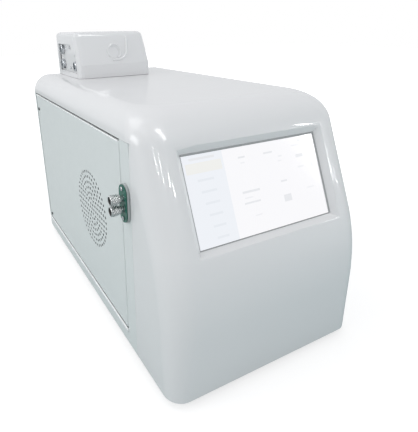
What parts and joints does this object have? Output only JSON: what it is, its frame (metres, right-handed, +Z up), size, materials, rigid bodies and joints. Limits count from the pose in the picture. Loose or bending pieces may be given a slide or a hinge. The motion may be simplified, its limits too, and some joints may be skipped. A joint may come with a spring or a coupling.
{
  "type": "total organic carbon analyzer",
  "caption": "Bench analyzer with a moulded hood, tilted touch display, vented side door over its pumps and reagents, sample ports and a rear-top module.",
  "frame": {"origin": "on the bench surface under the middle of the whole object's outer box", "axes": "+Z up, -Y out of the front with the display, +X to the right seen from the front; the door is on the -X side"},
  "size_m": [0.28, 0.4892, 0.3573],
  "materials": {
    "gloss_shell": "glossy pale grey moulded plastic",
    "painted_steel": "pale grey powder coat",
    "inner_steel": "plain zinc-coated sheet",
    "bare_steel": "turned stainless steel",
    "chrome_plate": "bright plate",
    "dark_plastic": "fine matt black",
    "grey_plastic": "matt grey",
    "green_plastic": "deep teal green, semi-gloss",
    "white_polymer": "machined white polymer",
    "bottle_polymer": "translucent blown polymer",
    "foot_rubber": "matt black",
    "display_glass": "lit display behind smooth glass",
    "clear_glass": "clear",
    "circuit_board": "green solder mask",
    "clear_tube": "translucent pump tube"
  },
  "bodies": {
    "case": {"hood": "gloss_shell", "module_cover": "gloss_shell", "touch_glass": "display_glass", "display_panel": "dark_plastic", "base_tray": "inner_steel", "partition": "inner_steel", "power_supply": "inner_steel", "front_left_foot": "foot_rubber", "front_right_foot": "foot_rubber", "rear_left_foot": "foot_rubber", "rear_right_foot": "foot_rubber", "left_frame": "painted_steel", "right_panel": "painted_steel", "rear_panel": "painted_steel", "upper_hinge_pin": "bare_steel", "lower_hinge_pin": "bare_steel", "port_boss": "grey_plastic", "port_face": "green_plastic", "inlet_union": "bare_steel", "outlet_union": "bare_steel", "module_port_plate": "gloss_shell", "upper_module_connector": "chrome_plate", "lower_module_connector": "chrome_plate", "front_module_connector": "chrome_plate", "rear_fan_frame": "dark_plastic", "rear_fan_guard": "chrome_plate", "power_inlet": "dark_plastic", "switch_bezel": "dark_plastic", "data_sockets": "bare_steel", "waste_outlet": "white_polymer", "main_board": "circuit_board", "pump_housing": "white_polymer", "pump_motor": "dark_plastic", "pump_tube": "clear_tube", "acid_syringe_body": "white_polymer", "acid_syringe_barrel": "clear_glass", "oxidiser_syringe_body": "white_polymer", "oxidiser_syringe_barrel": "clear_glass", "acid_bottle": "bottle_polymer", "oxidiser_bottle": "bottle_polymer", "drip_tray": "white_polymer", "uv_reactor": "chrome_plate", "reactor_cradle": "dark_plastic", "cell_block": "white_polymer"},
    "door": {"side_door": "painted_steel", "hinge_rail": "bare_steel", "upper_hinge_screw": "dark_plastic", "lower_hinge_screw": "dark_plastic", "door_fan_frame": "dark_plastic"},
    "door_fan": {"door_fan_rotor": "dark_plastic"},
    "rear_fan": {"rear_fan_rotor": "dark_plastic"},
    "pump_drive": {"pump_rotor": "bare_steel"},
    "acid_plunger": {"acid_syringe_plunger": "bare_steel"},
    "oxidiser_plunger": {"oxidiser_syringe_plunger": "bare_steel"},
    "rocker": {"power_rocker": "dark_plastic"},
    "fuse_carrier": {"fuse_drawer": "dark_plastic"},
    "inlet_knob": {"inlet_nut": "chrome_plate"},
    "outlet_knob": {"outlet_nut": "chrome_plate"},
    "acid_cap": {"acid_bottle_cap": "dark_plastic"},
    "oxidiser_cap": {"oxidiser_bottle_cap": "dark_plastic"}
  },
  "joints": [
    {"name": "door_swing", "type": "hinge", "parent": "case", "child": "door", "pos_m": [-0.1136, 0.21045, 0.1455], "axis": [0, 0, -1], "range_deg": [0, 100]},
    {"name": "door_fan_spin", "type": "hinge", "parent": "door", "child": "door_fan", "pos_m": [-0.1086, -0.03755, 0.1495], "axis": [1, 0, 0], "continuous": true},
    {"name": "rear_fan_spin", "type": "hinge", "parent": "case", "child": "rear_fan", "pos_m": [0.0784, 0.21545, 0.194], "axis": [0, 1, 0], "continuous": true},
    {"name": "pump_rotor_spin", "type": "hinge", "parent": "case", "child": "pump_drive", "pos_m": [-0.0066, 0.08545, 0.184], "axis": [1, 0, 0], "continuous": true},
    {"name": "acid_plunger_slide", "type": "slide", "parent": "case", "child": "acid_plunger", "axis": [0, 0, -1], "range_m": [0, 0.035]},
    {"name": "oxidiser_plunger_slide", "type": "slide", "parent": "case", "child": "oxidiser_plunger", "axis": [0, 0, -1], "range_m": [0, 0.035]},
    {"name": "power_rocker_tilt", "type": "hinge", "parent": "case", "child": "rocker", "pos_m": [0.0944, 0.22355, 0.092], "axis": [-1, 0, 0], "range_deg": [0, 20]},
    {"name": "fuse_drawer_slide", "type": "slide", "parent": "case", "child": "fuse_carrier", "axis": [0, 1, 0], "range_m": [0, 0.019]},
    {"name": "inlet_nut_turn", "type": "hinge", "parent": "case", "child": "inlet_knob", "pos_m": [-0.1336, -0.15055, 0.20529], "axis": [1, 0, 0], "continuous": true},
    {"name": "outlet_nut_turn", "type": "hinge", "parent": "case", "child": "outlet_knob", "pos_m": [-0.1336, -0.15055, 0.19349], "axis": [1, 0, 0], "continuous": true},
    {"name": "acid_cap_turn", "type": "hinge", "parent": "case", "child": "acid_cap", "pos_m": [-0.0496, -0.09455, 0.123], "axis": [0, 0, 1], "continuous": true},
    {"name": "oxidiser_cap_turn", "type": "hinge", "parent": "case", "child": "oxidiser_cap", "pos_m": [-0.0496, -0.02855, 0.123], "axis": [0, 0, 1], "continuous": true}
  ]
}
